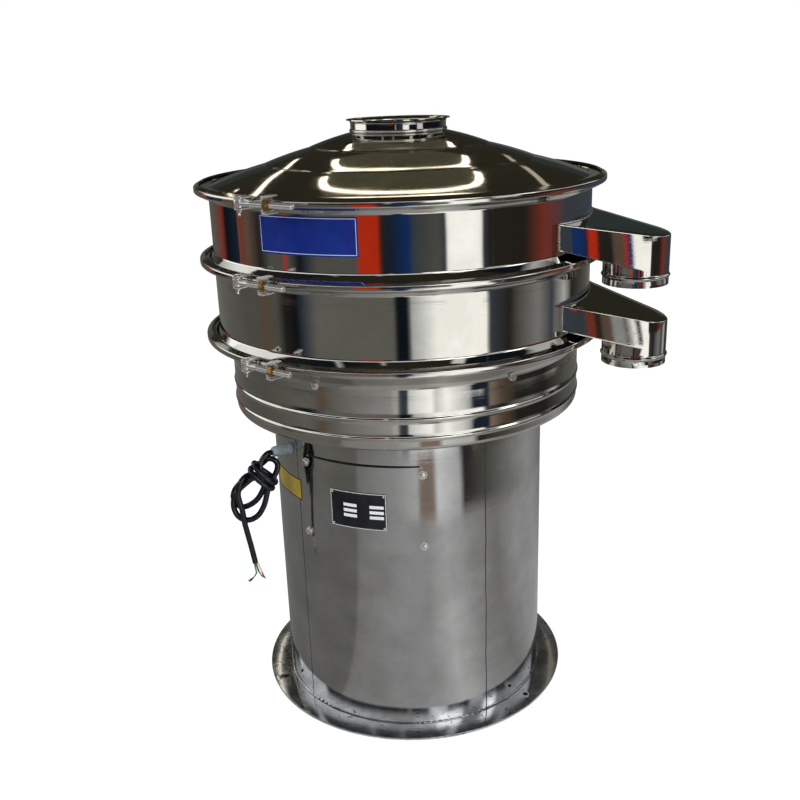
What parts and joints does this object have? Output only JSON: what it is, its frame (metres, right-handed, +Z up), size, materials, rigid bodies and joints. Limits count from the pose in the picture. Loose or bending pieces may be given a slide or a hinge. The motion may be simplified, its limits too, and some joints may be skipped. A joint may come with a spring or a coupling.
{
  "type": "rotary vibrating sieve",
  "caption": "Round vibrating sieve in polished stainless steel: conical cover with inlet, clamped screen frames with side outlets, spring-mounted on a flanged drum base.",
  "frame": {"origin": "on the floor, under the middle of the outline without the free cable; the machine's upright axis stands 52.3 mm to the -X side of it", "axes": "+Z up along the machine's axis, -Y towards the front with the access door, +X towards the side of the outlets"},
  "size_m": [0.9664, 0.862, 1.2768],
  "materials": {
    "polished_stainless": "mirror-polished stainless steel sheet",
    "satin_stainless": "rolled stainless plate, dull polish",
    "worn_stainless": "scuffed stainless plate",
    "spring_steel": "black painted spring steel",
    "painted_iron": "grey painted cast iron",
    "woven_wire": "woven stainless wire",
    "silicone_rubber": "white silicone rubber",
    "brass": "plain turned brass",
    "black_enamel": "black enamelled plate with a bare silver border",
    "grey_nylon": "moulded grey nylon",
    "cable_jacket": "black cable jacket",
    "core_insulation": "coloured core insulation with bare copper ends"
  },
  "bodies": {
    "base": {"base_flange": "worn_stainless", "base_cylinder": "satin_stainless", "spring_ring": "satin_stainless", "access_door": "satin_stainless", "door_bolt_1": "polished_stainless", "door_bolt_2": "polished_stainless", "door_bolt_3": "polished_stainless", "door_bolt_4": "polished_stainless", "rating_plate": "black_enamel", "cable_gland": "grey_nylon", "gland_locknut": "grey_nylon", "spring_1": "spring_steel", "spring_2": "spring_steel", "spring_3": "spring_steel", "spring_4": "spring_steel", "spring_5": "spring_steel", "spring_6": "spring_steel", "cable_lead": "cable_jacket", "cable_hank": "cable_jacket", "cable_tail": "cable_jacket", "cable_cores": "core_insulation"},
    "sieve_body": {"bottom_frame": "polished_stainless", "motor_plate": "satin_stainless", "skirt_bolt_1": "polished_stainless", "skirt_bolt_2": "polished_stainless", "skirt_bolt_3": "polished_stainless", "skirt_bolt_4": "polished_stainless", "skirt_bolt_5": "polished_stainless", "skirt_bolt_6": "polished_stainless", "motor_housing": "painted_iron", "lower_frame": "polished_stainless", "upper_frame": "polished_stainless", "lower_spout": "polished_stainless", "upper_spout": "polished_stainless", "collecting_tray": "polished_stainless", "cover": "polished_stainless", "inlet_collar": "polished_stainless", "bottom_gasket": "silicone_rubber", "top_gasket": "silicone_rubber", "middle_gasket": "silicone_rubber", "screen_ring": "polished_stainless", "fine_mesh": "woven_wire", "support_mesh": "woven_wire", "top_clamp_ring": "polished_stainless", "middle_clamp_ring": "polished_stainless", "bottom_clamp_ring": "polished_stainless", "top_clamp_pin": "polished_stainless", "middle_clamp_pin": "polished_stainless", "bottom_clamp_pin": "polished_stainless"},
    "rotor": {"motor_shaft": "satin_stainless", "upper_weight": "painted_iron", "lower_fixed_weight": "painted_iron"},
    "adjustable_weight": {"lower_adjustable_weight": "painted_iron"},
    "top_bolt": {"top_swing_bolt": "polished_stainless"},
    "middle_bolt": {"middle_swing_bolt": "polished_stainless"},
    "bottom_bolt": {"bottom_swing_bolt": "polished_stainless"},
    "top_nut_body": {"top_nut": "brass"},
    "middle_nut_body": {"middle_nut": "brass"},
    "bottom_nut_body": {"bottom_nut": "brass"}
  },
  "joints": [
    {"name": "suspension_bounce", "type": "slide", "parent": "base", "child": "sieve_body", "axis": [0, 0, 1], "range_m": [-0.004, 0.004], "stiffness_N_per_m": 300000, "springref_m": 0.00555, "deforming": ["spring_1", "spring_2", "spring_3", "spring_4", "spring_5", "spring_6"]},
    {"name": "motor_spin", "type": "hinge", "parent": "sieve_body", "child": "rotor", "pos_m": [-0.05234, 0, 0.6], "axis": [0, 0, 1], "continuous": true},
    {"name": "weight_angle", "type": "hinge", "parent": "rotor", "child": "adjustable_weight", "pos_m": [-0.05234, 0, 0.4824], "axis": [0, 0, 1], "range_deg": [0, 90]},
    {"name": "top_bolt_swing", "type": "hinge", "parent": "sieve_body", "child": "top_bolt", "pos_m": [-0.34153, -0.34234, 1.153], "axis": [0, 0, -1], "range_deg": [0, 150]},
    {"name": "middle_bolt_swing", "type": "hinge", "parent": "sieve_body", "child": "middle_bolt", "pos_m": [-0.35905, -0.32674, 1.007], "axis": [0, 0, -1], "range_deg": [0, 150]},
    {"name": "bottom_bolt_swing", "type": "hinge", "parent": "sieve_body", "child": "bottom_bolt", "pos_m": [-0.35562, -0.32993, 0.847], "axis": [0, 0, -1], "range_deg": [0, 150]},
    {"name": "top_nut_travel", "type": "slide", "parent": "top_bolt", "child": "top_nut_body", "axis": [0.808, -0.5891, 0], "range_m": [0, 0.05]},
    {"name": "middle_nut_travel", "type": "slide", "parent": "middle_bolt", "child": "middle_nut_body", "axis": [0.7761, -0.6306, 0], "range_m": [0, 0.042]},
    {"name": "bottom_nut_travel", "type": "slide", "parent": "bottom_bolt", "child": "bottom_nut_body", "axis": [0.7827, -0.6224, 0], "range_m": [0, 0.038]}
  ]
}
